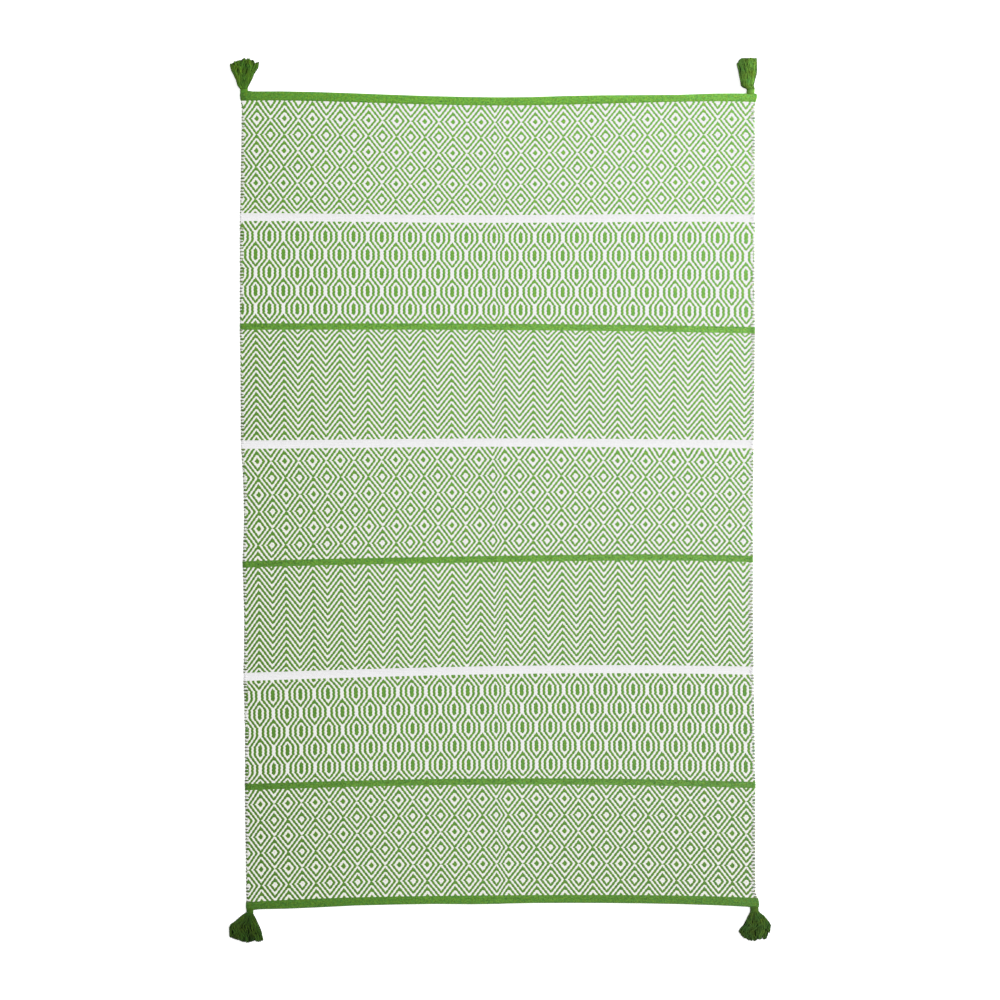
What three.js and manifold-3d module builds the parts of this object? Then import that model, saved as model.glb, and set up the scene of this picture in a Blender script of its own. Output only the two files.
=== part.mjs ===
// A flat-woven cotton rug with a turned hem at each end and a tassel at each corner.
// Millimetres, +Z up. The rug lies flat on z = 0, its length along Y, and the origin is
// under the middle of its outline, tassels and all.
import * as THREE from "three";
import { mergeVertices } from "three/addons/utils/BufferGeometryUtils.js";
import Module from "manifold-3d";

// Thickness of the cloth in its patterned bands, its plain stripes and its turned hems.
const BAND_THICKNESS = 4.0;
const STRIPE_THICKNESS = 3.4;
const HEM_THICKNESS = 5.6;
const HEM_DEPTH = 17;

// The selvedges: how far the rounding reaches in, and how far each band draws in its sides.
const EDGE_ROUNDING = 3;
const EDGE_HEIGHT_SHARE = 0.5;
const BAND_DRAW_IN = 1.6;
const COLUMNS = 20;

// Lines of the weft, from the far end to the near one. heights are the line's places along
// the rug at the left selvedge, a quarter, the middle, three quarters and the right selvedge;
// left and right are the selvedges there; half is half of a stripe's width.
const WEFT_LINES = [
  { name: "far end", heights: [806.0, 801.4, 794.7, 799.0, 801.8], left: -511.8, right: 504.3 },
  { name: "stripe 1", heights: [558.7, 556.5, 554.7, 556.1, 555.5], left: -513.8, right: 498.4, half: 7.7 },
  { name: "stripe 2", heights: [343.0, 343.0, 342.0, 339.6, 335.3], left: -513.8, right: 502.4, half: 6.4 },
  { name: "stripe 3", heights: [110.1, 112.3, 114.1, 113.1, 110.9], left: -509.2, right: 498.4, half: 8.2 },
  { name: "stripe 4", heights: [-126.1, -119.6, -115.2, -111.9, -114.7], left: -507.9, right: 496.4, half: 6.3 },
  { name: "stripe 5", heights: [-347.7, -339.6, -333.5, -332.1, -335.3], left: -505.9, right: 498.4, half: 7.9 },
  { name: "stripe 6", heights: [-564.4, -556.9, -553.4, -555.0, -560.9], left: -503.9, right: 502.4, half: 6.2 },
  { name: "near end", heights: [-805.3, -796.7, -793.1, -793.5, -801.8], left: -501.8, right: 508.3 },
];

// The tassels. across is the place along the end line, lean how far the tip drifts to the
// right, spread the width of the fan at its tips, reach its length past the knot.
const TASSELS = [
  { name: "tassel_far_left", end: 0, across: -503.3, lean: 0, spread: 56, reach: 55 },
  { name: "tassel_far_right", end: 0, across: 494.5, lean: -8, spread: 40, reach: 57 },
  { name: "tassel_near_left", end: 7, across: -493.1, lean: -7, spread: 66, reach: 55 },
  { name: "tassel_near_right", end: 7, across: 499.8, lean: 1, spread: 62, reach: 55 },
];
const KNOT_RADII = new THREE.Vector3(7, 5.2, 4.6);
// The knot laps a little over the hem's rounded edge, without touching it.
const KNOT_LAP = 0.2;
const STRAND_WIDTH = 2.2;
const STRAND_HEIGHT = 2.0;
const STRAND_GAP = 0.3;
const STRANDS_PER_LAYER = 8;
const STRAND_LAYERS = 3;
const STRAND_STEPS = 6;
const TIP_SHARE = 0.45;

const GREEN = new THREE.MeshStandardMaterial({ color: 0x9dbb74, roughness: 0.95, metalness: 0 });
const DARK_GREEN = new THREE.MeshStandardMaterial({ color: 0x46662a, roughness: 0.95, metalness: 0 });

// The smooth curve through five values at equal steps, read at t from 0 to 1.
function throughFive(values, t) {
  const places = [0, 0.25, 0.5, 0.75, 1];
  let sum = 0;
  for (let i = 0; i < places.length; i += 1) {
    let term = values[i];
    for (let k = 0; k < places.length; k += 1) {
      if (k !== i) {
        term *= (t - places[k]) / (places[i] - places[k]);
      }
    }
    sum += term;
  }
  return sum;
}

// One row of the rug's surface: a weft line moved along the rug by shift, at one thickness.
function rowOnLine(line, shift, thickness) {
  return {
    left: line.left,
    right: line.right,
    thickness,
    height: (t) => throughFive(line.heights, t) + shift,
  };
}

// The row half way between two weft lines, drawn in at both sides.
function waistRow(above, below) {
  return {
    left: (above.left + below.left) / 2 + BAND_DRAW_IN,
    right: (above.right + below.right) / 2 - BAND_DRAW_IN,
    thickness: BAND_THICKNESS,
    height: (t) => (throughFive(above.heights, t) + throughFive(below.heights, t)) / 2,
  };
}

// A hem's rows from its outer edge inwards: a rounded fold, a level top and a step down.
function hemRows(line, inward) {
  const profile = [
    { depth: 0, share: 0.45 },
    { depth: 1.5, share: 0.85 },
    { depth: 4, share: 1 },
    { depth: HEM_DEPTH - 1.5, share: 1 },
    { depth: HEM_DEPTH, share: BAND_THICKNESS / HEM_THICKNESS },
  ];
  return profile.map((step) => rowOnLine(line, inward * step.depth, step.share * HEM_THICKNESS));
}

function rugRows() {
  const last = WEFT_LINES.length - 1;
  const rows = [...hemRows(WEFT_LINES[0], -1)];
  for (let i = 1; i <= last; i += 1) {
    const line = WEFT_LINES[i];
    rows.push(waistRow(WEFT_LINES[i - 1], line));
    if (i < last) {
      rows.push(rowOnLine(line, line.half, BAND_THICKNESS));
      rows.push(rowOnLine(line, 0, STRIPE_THICKNESS));
      rows.push(rowOnLine(line, -line.half, BAND_THICKNESS));
    }
  }
  rows.push(...hemRows(WEFT_LINES[last], 1).reverse());
  return rows;
}

// Distances across the rug as shares of its width: two close columns at each selvedge,
// and equal steps between.
function columnShares(width) {
  const inset = EDGE_ROUNDING / width;
  const shares = [0, inset];
  for (let i = 1; i < COLUMNS; i += 1) {
    shares.push(i / COLUMNS);
  }
  shares.push(1 - inset, 1);
  return shares;
}

// The rug as one closed body: a top grid over its rows and columns, the same grid flat on
// z = 0 below it, and a wall round the outline.
function rugGeometry() {
  const rows = rugRows();
  const across = columnShares(rows[0].right - rows[0].left).length;
  const positions = [];
  for (const level of ["top", "floor"]) {
    for (const row of rows) {
      const shares = columnShares(row.right - row.left);
      shares.forEach((t, column) => {
        const atEdge = column === 0 || column === across - 1;
        const rise = row.thickness * (atEdge ? EDGE_HEIGHT_SHARE : 1);
        const x = row.left + t * (row.right - row.left);
        positions.push(x, row.height(t), level === "top" ? rise : 0);
      });
    }
  }
  const count = rows.length * across;
  const top = (row, column) => row * across + column;
  const floor = (row, column) => count + top(row, column);
  const triangles = [];
  const quad = (a, b, c, d) => triangles.push(a, b, c, a, c, d);
  for (let r = 0; r + 1 < rows.length; r += 1) {
    for (let c = 0; c + 1 < across; c += 1) {
      quad(top(r, c), top(r + 1, c), top(r + 1, c + 1), top(r, c + 1));
      quad(floor(r, c), floor(r, c + 1), floor(r + 1, c + 1), floor(r + 1, c));
    }
    quad(top(r, 0), floor(r, 0), floor(r + 1, 0), top(r + 1, 0));
    quad(top(r + 1, across - 1), floor(r + 1, across - 1), floor(r, across - 1), top(r, across - 1));
  }
  const bottomRow = rows.length - 1;
  for (let c = 0; c + 1 < across; c += 1) {
    quad(top(0, c + 1), floor(0, c + 1), floor(0, c), top(0, c));
    quad(top(bottomRow, c), floor(bottomRow, c), floor(bottomRow, c + 1), top(bottomRow, c + 1));
  }
  return closedGeometry(positions, triangles);
}

function closedGeometry(positions, triangles) {
  const geometry = new THREE.BufferGeometry();
  geometry.setAttribute("position", new THREE.Float32BufferAttribute(positions, 3));
  geometry.setIndex(triangles);
  return geometry;
}

// A strand of yarn with a level underside: a four-sided section carried along its centres,
// a little narrower at the tip.
function strandGeometry(centres) {
  const positions = [];
  const triangles = [];
  const last = centres.length - 1;
  centres.forEach((centre, i) => {
    const before = centres[Math.max(i - 1, 0)];
    const after = centres[Math.min(i + 1, last)];
    const along = new THREE.Vector2(after.x - before.x, after.y - before.y).normalize();
    const half = (STRAND_WIDTH / 2) * (i === last ? TIP_SHARE : 1);
    const sideX = -along.y * half;
    const sideY = along.x * half;
    for (const [side, rise] of [[1, 0], [-1, 0], [-1, STRAND_HEIGHT], [1, STRAND_HEIGHT]]) {
      positions.push(centre.x + side * sideX, centre.y + side * sideY, centre.z + rise);
    }
  });
  const quad = (a, b, c, d) => triangles.push(a, b, c, a, c, d);
  quad(0, 1, 2, 3);
  for (let i = 0; i < last; i += 1) {
    for (let k = 0; k < 4; k += 1) {
      const next = (k + 1) % 4;
      quad(i * 4 + k, (i + 1) * 4 + k, (i + 1) * 4 + next, i * 4 + next);
    }
  }
  quad(last * 4 + 3, last * 4 + 2, last * 4 + 1, last * 4);
  return closedGeometry(positions, triangles);
}

// The centres of one strand: share runs from -1 to 1 across the fan. The fan opens quickly
// past the knot, all its strands swing together, and each has its own length.
function strandCentres(tassel, outward, root, layer, share, length) {
  const centres = [];
  for (let i = 0; i <= STRAND_STEPS; i += 1) {
    const s = i / STRAND_STEPS;
    const width = KNOT_RADII.x + (tassel.spread - KNOT_RADII.x) * Math.pow(s, 0.85);
    const swing = 1.5 * Math.sin(5 * s + layer) * s;
    const x = root.x + tassel.lean * s + swing + (share * width) / 2;
    const y = root.y + outward * (KNOT_RADII.y + tassel.reach) * length * s;
    centres.push(new THREE.Vector3(x, y, layer * (STRAND_HEIGHT + STRAND_GAP)));
  }
  return centres;
}

function toSolid(wasm, geometry) {
  const bare = geometry.clone();
  bare.deleteAttribute("normal");
  bare.deleteAttribute("uv");
  const merged = mergeVertices(bare, 1e-4);
  const vertProperties = new Float32Array(merged.attributes.position.array);
  const triVerts = new Uint32Array(merged.index.array);
  return new wasm.Manifold(new wasm.Mesh({ numProp: 3, vertProperties, triVerts }));
}

function toGeometry(solid) {
  const mesh = solid.getMesh();
  return closedGeometry(Array.from(mesh.vertProperties), Array.from(mesh.triVerts));
}

// A tassel: a round knot seated at the end of the hem, with layers of strands fanned out
// from it on the floor, joined to each other only at their roots.
function tasselGeometry(wasm, tassel) {
  const line = WEFT_LINES[tassel.end];
  const outward = tassel.end === 0 ? 1 : -1;
  const t = (tassel.across - line.left) / (line.right - line.left);
  const endHeight = throughFive(line.heights, t);
  const root = new THREE.Vector2(tassel.across, endHeight + outward * (KNOT_RADII.y - KNOT_LAP));
  const knot = new THREE.SphereGeometry(1, 14, 9);
  knot.scale(KNOT_RADII.x, KNOT_RADII.y, KNOT_RADII.z);
  knot.translate(root.x, root.y, KNOT_RADII.z);
  let solid = toSolid(wasm, knot);
  for (let layer = 0; layer < STRAND_LAYERS; layer += 1) {
    for (let k = 0; k < STRANDS_PER_LAYER; k += 1) {
      const place = (k + (layer + 0.5) / STRAND_LAYERS) / STRANDS_PER_LAYER;
      const share = 2 * place - 1;
      const length = 0.94 - 0.1 * share * share + 0.06 * Math.sin(7 * k + 3 * layer + tassel.across);
      const centres = strandCentres(tassel, outward, root, layer, share, length);
      solid = solid.add(toSolid(wasm, strandGeometry(centres)));
    }
  }
  return toGeometry(solid);
}

const wasm = await Module();
wasm.setup();

const rug = new THREE.Mesh(rugGeometry(), GREEN);
rug.name = "rug";
const part = new THREE.Group();
part.add(rug);
for (const tassel of TASSELS) {
  const mesh = new THREE.Mesh(tasselGeometry(wasm, tassel), DARK_GREEN);
  mesh.name = tassel.name;
  part.add(mesh);
}

// The origin goes under the middle of the whole outline.
const middle = new THREE.Box3().setFromObject(part).getCenter(new THREE.Vector3());
part.position.set(-middle.x, -middle.y, 0);

export default part;
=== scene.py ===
"""A flat-woven cotton rug on a pale floor, seen from straight above.

The rug is one sheet with twill bands, plain stripes and a turned hem at each end. Wefts loop
round its selvedges, and a tassel is knotted to each corner. Lengths are in millimetres until
they go into a mesh, which holds metres.
"""
from collections import namedtuple

import bpy
import numpy as np
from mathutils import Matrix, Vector


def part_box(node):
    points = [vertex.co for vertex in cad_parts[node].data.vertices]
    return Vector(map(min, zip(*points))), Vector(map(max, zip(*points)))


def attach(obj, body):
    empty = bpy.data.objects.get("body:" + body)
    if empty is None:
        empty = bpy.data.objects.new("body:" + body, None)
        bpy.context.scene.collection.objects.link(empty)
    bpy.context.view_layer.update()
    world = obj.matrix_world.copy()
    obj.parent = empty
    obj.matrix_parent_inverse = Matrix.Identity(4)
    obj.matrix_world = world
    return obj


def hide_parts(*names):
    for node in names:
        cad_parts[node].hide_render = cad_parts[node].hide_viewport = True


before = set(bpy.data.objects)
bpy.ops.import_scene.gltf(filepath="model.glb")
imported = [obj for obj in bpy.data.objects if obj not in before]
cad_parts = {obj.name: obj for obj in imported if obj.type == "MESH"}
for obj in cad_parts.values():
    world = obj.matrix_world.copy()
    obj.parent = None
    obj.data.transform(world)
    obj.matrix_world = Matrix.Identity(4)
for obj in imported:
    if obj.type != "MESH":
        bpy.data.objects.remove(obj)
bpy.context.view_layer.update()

MM = 0.001
rng = np.random.default_rng(7)

# Weft lines from the far end to the near one: an end of the cloth, or the middle of a plain
# stripe. heights are the line's places along the rug at the left selvedge, a quarter, the
# middle, three quarters and the right selvedge; left and right are the selvedges beside it, and
# half is half of a stripe's width.
WeftLine = namedtuple("WeftLine", "heights left right half picks green")
WEFT_LINES = [
    WeftLine([805.5, 801.3, 794.7, 799.2, 801.3], -510.2, 502.3, 0, 0, True),
    WeftLine([558.4, 556.4, 554.7, 556.3, 555.6], -514.4, 502.8, 7.7, 5, False),
    WeftLine([342.6, 342.8, 342.0, 339.6, 335.3], -514.4, 502.6, 6.4, 4, True),
    WeftLine([110.1, 112.3, 114.1, 113.1, 110.9], -512.4, 500.2, 8.2, 5, False),
    WeftLine([-126.3, -119.6, -115.4, -112.2, -115.5], -509.2, 498.6, 6.3, 4, True),
    WeftLine([-347.7, -339.8, -334.1, -332.3, -335.3], -507.5, 500.0, 7.9, 5, False),
    WeftLine([-564.9, -557.1, -553.6, -554.7, -560.8], -504.5, 503.2, 6.2, 4, True),
    WeftLine([-806.0, -797.0, -793.5, -793.5, -801.7], -501.4, 503.7, 0, 0, True),
]

# The twill bands between those lines. rows is their number of weft rows, first the row of the
# weaver's chart that they start on, and waists how far the sides draw in half way down. drift
# is how far the warp has strayed to the right, and upper and lower sag how far the rows have
# slipped towards the near end a quarter and three quarters down, at five places across.
Band = namedtuple("Band", "pattern rows first left_waist right_waist drift upper_sag lower_sag")
BANDS = [
    Band("diamond", 70, 0, 0.5, 0.2, [-1.3, -0.8, 1.8, 2.0, 2.4],
         [2.4, 1.4, 0.5, 0.0, 1.4], [2.6, 1.0, -0.5, -0.9, 0.2]),
    Band("hexagon", 62, -1, 0.2, 1.0, [-0.5, 0.2, 2.2, 2.0, 3.3],
         [0.6, 0.5, 1.0, 1.0, 1.8], [0.6, 1.2, 1.8, 1.0, 1.0]),
    Band("zigzag", 69, -1, 0.4, 0.0, [-0.5, -0.1, 0.0, -0.2, 1.0],
         [-1.6, -1.9, -1.8, -2.1, -2.8], [-0.8, -1.2, -0.9, -1.3, -1.6]),
    Band("diamond", 67, 3, 4.2, 0.9, [-1.2, -2.1, -1.5, 0.0, 1.2],
         [0.4, 0.3, 0.9, 3.0, 4.3], [1.0, 1.3, 1.0, 2.4, 2.4]),
    Band("zigzag", 64, 0, 2.4, 0.8, [-0.6, -1.7, 0.4, 0.8, 0.6],
         [0.0, 0.2, 0.7, 1.0, 0.8], [1.4, 0.4, 0.3, 1.0, 0.6]),
    Band("hexagon", 63, -2, 1.4, 0.0, [-0.6, -1.2, 1.4, 1.7, 1.7],
         [-1.6, -1.6, -0.2, -0.6, -1.6], [1.2, 0.8, 1.7, 1.4, 0.8]),
    Band("diamond", 68, 2, 0.0, 0.5, [-0.5, -1.7, 0.3, 1.4, 2.2],
         [1.0, 0.6, 0.3, 0.1, -0.5], [0.2, 0.1, 0.2, 0.2, 0.2]),
]

# Where the warp ends lie: ends counted from the left selvedge against shares of the width.
# They are bunched along the crease down the middle of the rug.
END_COUNTS = [-8.5, 0, 13.5, 199.7, 209.4, 398.5, 407, 415.1]
END_SHARES = [-0.02, 0, 0.0317, 0.49, 0.51, 0.9791, 1, 1.02]

# The cloth's usual length and half width, over which the green yarn's colour changes.
CLOTH_LENGTH = 1612
CLOTH_HALF_WIDTH = 508
BAND_THICKNESS = 4.0
STRIPE_THICKNESS = 3.4
HEM_THICKNESS = 5.6
HEM_ROWS = 5
HEM_STEP = 2.2
EDGE_ROUNDING = 3.0
CORNER_RADIUS = 4.0
# A row's rib: its height, how much of that is left in a hem, and how uneven it is.
ROW_RIB = 0.42
HEM_RIB_SHARE = 0.3
RIB_UNEVENNESS = 0.25
# The slow waves of the cloth's thickness, and the crease down the middle of the rug.
WAVE_HEIGHT = 0.22
CREASE_PLACE = -2
CREASE_HALF_WIDTH = 9
CREASE_HEIGHT = 0.35
# Where a hem's flares hold, as shares of its depth; past its seam they die away.
FLARE_STEPS = (0, 0.5, 1, 1.9)
# The share of a band's length over which its rows' sag dies away at its borders.
SAG_FADE = 0.07
# A weft row's cross-section: shares of the row against shares of the rib's height.
ROW_PROFILE = [(0.0, 0.0), (0.3, 1.0), (0.7, 1.0)]

# How much darker the hems are at the left selvedge, and how fast that dies away: it is gone
# before the middle. Then how far in the painted shade of a hem's packed folds reaches.
HEM_LEFT_SHADE = 0.14
HEM_SHADE_FALL = 2.4
FOLD_SHADE_REACH = 11
# The turned ends, by weft line. depths are the hem's depth at five places across. flares are
# how far its left and its right end stand out past the selvedges at the fold, half way and at
# the seam. shades are how much painted shade darkens the packed folds of those two ends, and
# waves the unevenness of the long fold as (place across, half width, distance away from the cloth).
Hem = namedtuple("Hem", "away depths flares shades waves")
HEMS = {
    0: Hem(1, [18.1, 17.6, 16.5, 16.2, 16.2], [(2.4, 3.4, 2.2), (3.6, 3.3, 1.2)], (0.3, 0.12),
           [(-504, 9, 2.6), (149, 71, 1.6), (342, 71, -2.4), (495, 10, 1.2)]),
    7: Hem(-1, [14.6, 16.0, 15.8, 16.3, 18.6], [(0.2, 0.4, 0.0), (6.0, 6.4, 4.4)], (0.15, 0.12),
           [(-493, 8, 1.4), (-401, 71, 2.4), (-37, 51, 1.8), (499, 9, 1.6)]),
}

# Weft yarns that turn over the selvedge, by side. They reach further in on the right, and the
# stretches where they lie sunk in the cloth are fewer there.
LOOP_REACH = {-1: 3.7, 1: 4.2}
LOOP_SINKING = {-1: 0.35, 1: 0.72}
LOOP_PROUD = 1.3
LOOP_RADII = (1.15, 0.95)
LOOP_RISE = 1.9
LOOP_DROP = 1.3
# The angles at which a loop's arc starts in the cloth and ends under it, in degrees.
LOOP_ARC = (165, -60)
LOOP_STEPS = 9

# The tassels. across and hem are the place at the hem's edge that they hang from, and away the
# way that they hang. knot is the knot's half width and half length. left and right are the
# fan's two sides as (distance from the hem, place across the rug), and lengths the strands'
# reach from the left side to the right one. trim is how uneven their ends are, and the tones
# how light the strands are at the left side and at the right one, and the knot, beside the
# hem: painted shade, darker among the strands and on the side away from the light.
Tassel = namedtuple("Tassel", "name across hem away knot left right lengths trim tones")
TASSELS = [
    Tassel("tassel_far_left", -505.4, 804.7, 1, (8.6, 6.4),
           [(0, -512.5), (7, -514.7), (13, -518.3), (25, -522), (36, -527.1), (42, -530.7), (54, -533.4)],
           [(0, -496.5), (7, -497.6), (13, -495.8), (25, -489.3), (36, -485.3), (48, -477.3), (60, -475.5)],
           [56, 61.5, 64, 65, 68, 66, 66.5, 60, 61], 2.6, (0.52, 0.55, 0.76)),
    Tassel("tassel_far_right", 492.6, 802.8, 1, (9.0, 7.4),
           [(0, 486), (9, 483.3), (12, 476.5), (15, 473.7), (27, 471.5), (44, 468.6), (56, 465.5), (68, 466)],
           [(0, 501.5), (3, 502), (9, 502), (15, 499), (27, 502.1), (38, 504.8), (47, 505.6), (68, 505)],
           [60, 67.5, 70.4, 70.4, 70.4, 70.4, 70.4, 70.4, 70.4], 0.5, (0.28, 0.61, 0.60)),
    Tassel("tassel_near_left", -493.8, -805.5, -1, (7.8, 6.4),
           [(0, -501), (6, -501.2), (12, -509.6), (24, -523.2), (30, -532.4), (36, -534.7), (53, -534.2)],
           [(0, -486), (6, -487), (12, -485.1), (24, -479.4), (36, -473.8), (47, -469.6), (62, -466.5)],
           [56, 60, 62, 66, 66, 66, 62, 66, 62], 1.4, (0.39, 0.39, 0.50)),
    Tassel("tassel_near_right", 500.0, -801.8, -1, (9.4, 6.4),
           [(0, 491), (6, 491.5), (12, 490.4), (24, 484), (35, 478.7), (41, 472.5), (47, 469.4), (60, 470)],
           [(0, 507), (6, 509.2), (12, 513), (18, 521), (30, 530.5), (35, 533), (43, 532), (60, 530)],
           [50, 60.5, 63, 67.5, 67.5, 65, 62.5, 64.5, 49], 2.6, (0.33, 0.48, 0.46)),
]
KNOT_HEIGHT = 4.6
KNOT_LAP = 3.6
# The strands of a tassel's layers, from the floor up.
LAYER_STRANDS = [42, 30, 26]
STRAND_RADIUS = 1.15
STRAND_STEPS = 46
BUNCHES = 11
HAIRS = 30
HAIR_RADIUS = 0.5
HAIR_LEVEL = 1.12

# Colours as linear light.
WHITE_COTTON = (0.795, 0.792, 0.803)
HEM_TINT = (0.89, 0.94, 0.75)
LOOP_TINTS = {-1: (1.7, 0.92, 2.5), 1: (2.1, 0.95, 4.2)}
LOOP_TONES = {-1: (0.4, 0.95), 1: (0.6, 1.35)}
# The tone of the loops in a green stripe, and how mottled the yarn is in each kind of cloth.
STRIPE_LOOP_TONE = 0.9
MOTTLING = {"twill": 0.9, "stripe": 2.1, "hem": 2.0, "loop": 0.7}
MOTTLE_SCALE = 400.0

PHOTO_WIDTH_M = 1.97
HALF_PIXEL_M = PHOTO_WIDTH_M / 1000 / 2
CAMERA_HEIGHT_M = 8.0
SENSOR_MM = 36.0
KEY_PLACE_M = (8.7, 4.66, 9.94)
KEY_SIZE_M = 4.8
KEY_POWER_W = 1640
ROOM_STRENGTH = 0.57
FLOOR_HALF_M = 12.0


def photo_shift():
    """How far the frame's origin lies from the middle of the photograph, in metres."""
    low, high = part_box("rug")
    widest = min(line.left for line in WEFT_LINES)
    farthest = max(WEFT_LINES[0].heights)
    return np.array([low.x - widest * MM, high.y - farthest * MM])


SHIFT = photo_shift()


def through_five(values, share):
    """The quartic through five values at equal steps, read at shares from 0 to 1."""
    places = np.linspace(0, 1, 5)
    return np.polyval(np.polyfit(places, values, 4), share)


def end_count(share):
    """The number of warp ends between the left selvedge and a share of the width."""
    return np.interp(share, END_SHARES, END_COUNTS)


def green_yarn_colour(x, y):
    """The green yarn's colour at places in mm, as linear light.

    It falls evenly from the far end to the near one. It is 0.69 times as light at the left
    selvedge, and at the right one 1.15 times at the far end and 0.87 times at the near one. Its
    blue share grows from left to right, and its red share a little too.
    """
    down = np.clip(0.5 - y / CLOTH_LENGTH, 0, 1)
    across = np.clip(x / CLOTH_HALF_WIDTH, -1, 1)
    middle = 0.400 - 0.141 * down
    left = 0.69 - 1
    right = 0.15 + 0.12 * down - 0.40 * down ** 2
    green = middle * np.where(across < 0, 1 + left * across ** 2, 1 + right * across)
    red = 0.405 + 0.022 * across
    blue = 0.148 + 0.036 * across
    return np.stack([green * red, green, green * blue], -1)


# Making meshes

def unit(vectors):
    """Vectors made one long."""
    return vectors / np.linalg.norm(vectors, axis=-1, keepdims=True)


def turns(count):
    """Angles at equal steps, once round."""
    return np.linspace(0, 2 * np.pi, count, endpoint=False)


def grid_faces(rows):
    """Quads between neighbouring rows of vertex numbers, one row of faces for each step."""
    return np.stack([rows[:-1, :-1], rows[1:, :-1], rows[1:, 1:], rows[:-1, 1:]], -1).reshape(-1, 4)


def ring_faces(rings):
    """Quads round tubes: rings holds vertex numbers as tube, step, place round the ring."""
    turned = np.roll(rings, -1, axis=-1)
    quads = np.stack([rings[:, :-1], turned[:, :-1], turned[:, 1:], rings[:, 1:]], -1)
    return quads.reshape(-1, 4)


def add_object(name, data):
    """A new object in the scene."""
    made = bpy.data.objects.new(name, data)
    bpy.context.scene.collection.objects.link(made)
    return made


def new_piece(name, points, faces, materials=(), slots=None):
    """A smooth-shaded mesh piece from points in mm about the photograph's middle."""
    mesh = bpy.data.meshes.new(name)
    placed = np.array(points, float) * MM
    placed[:, :2] += SHIFT
    mesh.from_pydata(placed.tolist(), [], faces)
    for material in materials:
        mesh.materials.append(material)
    if slots is not None:
        mesh.polygons.foreach_set("material_index", slots)
    mesh.polygons.foreach_set("use_smooth", np.ones(len(mesh.polygons), bool))
    mesh.update()
    return add_object(name, mesh)


def put_values(piece, name, values, kind="FLOAT", domain="POINT"):
    """Stores numbers or vectors on a piece's points or face corners for its material."""
    attribute = piece.data.attributes.new(name, kind, domain)
    field = "value" if kind == "FLOAT" else "vector"
    attribute.data.foreach_set(field, np.asarray(values, np.float32).ravel())


def tubes(centres, across, up, rings):
    """Points of many tubes, as tube, step, place round the ring.

    Each point is the centre plus the ring's first number along the across direction and its
    second along the up direction; rings may change from tube to tube and step to step.
    """
    return centres[:, :, None] + rings[..., :1] * across[:, :, None] + rings[..., 1:] * up[:, :, None]


def closed_tubes(points):
    """Vertices and faces of tubes with a flat end on each side, faces outwards."""
    count, steps, around = points.shape[:3]
    numbers = np.arange(count * steps * around).reshape(count, steps, around)
    sides = ring_faces(numbers).tolist()
    starts = numbers[:, 0, ::-1].tolist()
    ends = numbers[:, -1].tolist()
    return points.reshape(-1, 3), sides + starts + ends


# The rug's surface

Section = namedtuple("Section", "kind rows first top bottom drift upper_sag lower_sag")
STRAIGHT = [[0, 0, 0, 0, 0]] * 3
KINDS = ["diamond", "hexagon", "zigzag", "white stripe", "green stripe", "hem"]
LAST_LINE = len(WEFT_LINES) - 1


def sections():
    """The cloth's parts from the far end to the near one.

    Each has its kind, its number of rows, its first row in the chart, its two borders as (weft
    line, distance along the rug from that line, or five of them), its warp's drift and its
    rows' sag.
    """
    far_hem = np.negative(HEMS[0].depths)
    near_hem = np.array(HEMS[LAST_LINE].depths)
    made = [Section("hem", HEM_ROWS, 0, (0, 0), (0, far_hem), *STRAIGHT)]
    for i, band in enumerate(BANDS):
        line = WEFT_LINES[i + 1]
        above = far_hem if i == 0 else -WEFT_LINES[i].half
        below = near_hem if i + 1 == LAST_LINE else line.half
        made.append(Section(band.pattern, band.rows, band.first, (i, above), (i + 1, below),
                            band.drift, band.upper_sag, band.lower_sag))
        if i + 1 < LAST_LINE:
            kind = "green stripe" if line.green else "white stripe"
            made.append(Section(kind, line.picks, 0, (i + 1, line.half), (i + 1, -line.half), *STRAIGHT))
    made.append(Section("hem", HEM_ROWS, 0, (LAST_LINE, near_hem), (LAST_LINE, 0), *STRAIGHT))
    return made


def fold_waves(line, share):
    """The unevenness of a hem's fold: bell curves added up, as distances along the rug."""
    hem = HEMS[line]
    place = WEFT_LINES[line].left + share * (WEFT_LINES[line].right - WEFT_LINES[line].left)
    return hem.away * sum(rise * np.exp(-((place - middle) / half) ** 2) for middle, half, rise in hem.waves)


def border_heights(border, share):
    """Places along the rug of a section's border, at shares of the width."""
    line, offset = border
    heights = through_five(np.add(WEFT_LINES[line].heights, offset), share)
    is_fold = np.ndim(offset) == 0 and offset == 0
    return heights + fold_waves(line, share) if is_fold else heights


def side_lines(middle_heights):
    """The two selvedges at heights down the middle of the rug.

    Between two weft lines a side runs straight from one to the other, less a sine bow that
    draws it in by the band's waist.
    """
    lines = [line.heights[2] for line in WEFT_LINES]
    left = np.interp(middle_heights, lines[::-1], [line.left for line in WEFT_LINES[::-1]])
    right = np.interp(middle_heights, lines[::-1], [line.right for line in WEFT_LINES[::-1]])
    for i, band in enumerate(BANDS):
        down = (lines[i] - middle_heights) / (lines[i] - lines[i + 1])
        bow = np.where((down > 0) & (down < 1), np.sin(np.pi * np.clip(down, 0, 1)), 0)
        left = left + band.left_waist * bow
        right = right - band.right_waist * bow
    return left, right


def column_shares():
    """Shares of the width at which the surface has points: close at both selvedges, and also
    wherever the warp's spacing changes."""
    edge = np.array([0, 0.45, 1.5, 3.0, 7.0, 12.0, 20.0]) / (2 * CLOTH_HALF_WIDTH)
    inside = [0.075, 0.14, 0.21, 0.29, 0.365, 0.44, 0.5, 0.56, 0.63, 0.70, 0.77, 0.85, 0.92, 0.958]
    return np.sort(np.concatenate([edge, END_SHARES[2:6], inside, 1 - edge[-2::-1]]))


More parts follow.
